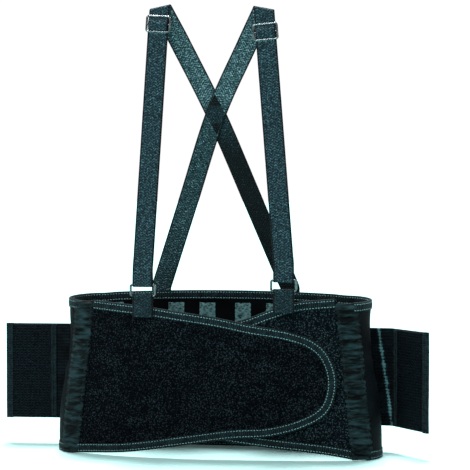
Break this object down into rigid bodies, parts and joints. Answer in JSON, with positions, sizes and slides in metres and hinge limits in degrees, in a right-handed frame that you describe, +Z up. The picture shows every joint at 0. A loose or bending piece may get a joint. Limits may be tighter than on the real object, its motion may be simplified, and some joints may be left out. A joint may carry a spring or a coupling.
{
  "type": "back brace",
  "caption": "Industrial back-support belt with overlapping front panels, elastic side bands with hook ends and crossed shoulder straps, standing closed as an oval.",
  "frame": {"origin": "on the floor under the centre of the whole object's box, belt standing on its lower edge", "axes": "+Z up, -Y towards the belt's front, +X to the right when the front is looked at"},
  "size_m": [0.5706, 0.1204, 0.5774],
  "materials": {
    "loop_fabric": "brushed loop",
    "spandex": "smooth stretch",
    "elastic": "woven elastic",
    "webbing": "woven webbing",
    "binding_tape": "woven tape",
    "hook_tape": "moulded hooks",
    "mesh_lining": "open mesh",
    "stay_plastic": "matt",
    "nickel": "polished nickel",
    "thread": "spun thread"
  },
  "bodies": {
    "root": {"back_panel": "mesh_lining", "back_top_binding": "binding_tape", "back_bottom_binding": "binding_tape", "stay_pockets": "mesh_lining", "back_stays": "stay_plastic", "band_anchor_patch": "elastic", "crossing_stitches": "thread", "left_side_panel": "spandex", "left_side_binding": "binding_tape", "left_gather_strip": "elastic", "left_band_back_run": "elastic", "left_front_leg": "webbing", "left_return_layer": "webbing", "left_apex_fold": "webbing", "left_back_strap": "webbing", "left_back_anchor": "webbing", "right_side_panel": "spandex", "right_side_binding": "binding_tape", "right_gather_strip": "elastic", "right_band_back_run": "elastic", "right_front_leg": "webbing", "right_return_layer": "webbing", "right_apex_fold": "webbing", "right_back_strap": "webbing", "right_back_anchor": "webbing"},
    "left_flap": {"left_front_panel": "loop_fabric", "left_panel_binding": "binding_tape", "left_ring_tab": "webbing", "tongue_hook_patch": "hook_tape"},
    "left_ring": {"left_ring": "nickel", "left_ring_loop": "webbing"},
    "left_slider": {"left_slider_frame": "nickel", "left_slider_bar": "nickel", "left_slider_webbing": "webbing"},
    "left_band": {"left_band_inner_wing": "elastic"},
    "left_band_end": {"left_band_outer_wing": "elastic", "left_band_hook_patch": "hook_tape", "left_band_end_binding": "binding_tape", "left_band_seam_tape": "elastic"},
    "right_flap": {"right_front_panel": "loop_fabric", "right_panel_binding": "binding_tape", "right_ring_tab": "webbing"},
    "right_ring": {"right_ring": "nickel", "right_ring_loop": "webbing"},
    "right_slider": {"right_slider_frame": "nickel", "right_slider_bar": "nickel", "right_slider_webbing": "webbing"},
    "right_band": {"right_band_inner_wing": "elastic"},
    "right_band_end": {"right_band_outer_wing": "elastic", "right_band_hook_patch": "hook_tape", "right_band_end_binding": "binding_tape", "right_band_seam_tape": "elastic"}
  },
  "joints": [
    {"name": "left_flap_hinge", "type": "hinge", "parent": "root", "child": "left_flap", "pos_m": [-0.16743, -0.044, 0], "axis": [-0.1099, 0.008, -0.9939], "range_deg": [0, 100]},
    {"name": "left_ring_tilt", "type": "hinge", "parent": "left_flap", "child": "left_ring", "pos_m": [-0.07493, -0.05767, 0.207], "axis": [1, 0, 0], "range_deg": [-25, 25]},
    {"name": "left_slider_travel", "type": "slide", "parent": "root", "child": "left_slider", "axis": [-0.0582, -0.0384, -0.9976], "range_m": [0, 0.15]},
    {"name": "left_band_swing", "type": "hinge", "parent": "root", "child": "left_band", "pos_m": [-0.18743, 0.04316, 0.0975], "axis": [0, 0, 1], "range_deg": [0, 35]},
    {"name": "left_band_wrap", "type": "hinge", "parent": "left_band", "child": "left_band_end", "pos_m": [-0.20943, 0.04163, 0.0975], "axis": [0, 0, 1], "range_deg": [-10, 45]},
    {"name": "right_flap_hinge", "type": "hinge", "parent": "root", "child": "right_flap", "pos_m": [0.19257, -0.03942, 0], "axis": [-0.1099, -0.008, 0.9939], "range_deg": [0, 35]},
    {"name": "right_ring_tilt", "type": "hinge", "parent": "right_flap", "child": "right_ring", "pos_m": [0.10557, -0.05716, 0.2145], "axis": [1, 0, 0], "range_deg": [-25, 25]},
    {"name": "right_slider_travel", "type": "slide", "parent": "root", "child": "right_slider", "axis": [0.0832, -0.0381, -0.9958], "range_m": [0, 0.15]},
    {"name": "right_band_swing", "type": "hinge", "parent": "root", "child": "right_band", "pos_m": [0.21257, 0.04316, 0.0975], "axis": [0, 0, -1], "range_deg": [0, 35]},
    {"name": "right_band_wrap", "type": "hinge", "parent": "right_band", "child": "right_band_end", "pos_m": [0.23457, 0.04163, 0.0975], "axis": [0, 0, -1], "range_deg": [-44, 4]}
  ],
  "couplings": [
    {"joint": "right_flap_hinge", "follows": "left_flap_hinge", "ratio": 0.35}
  ]
}
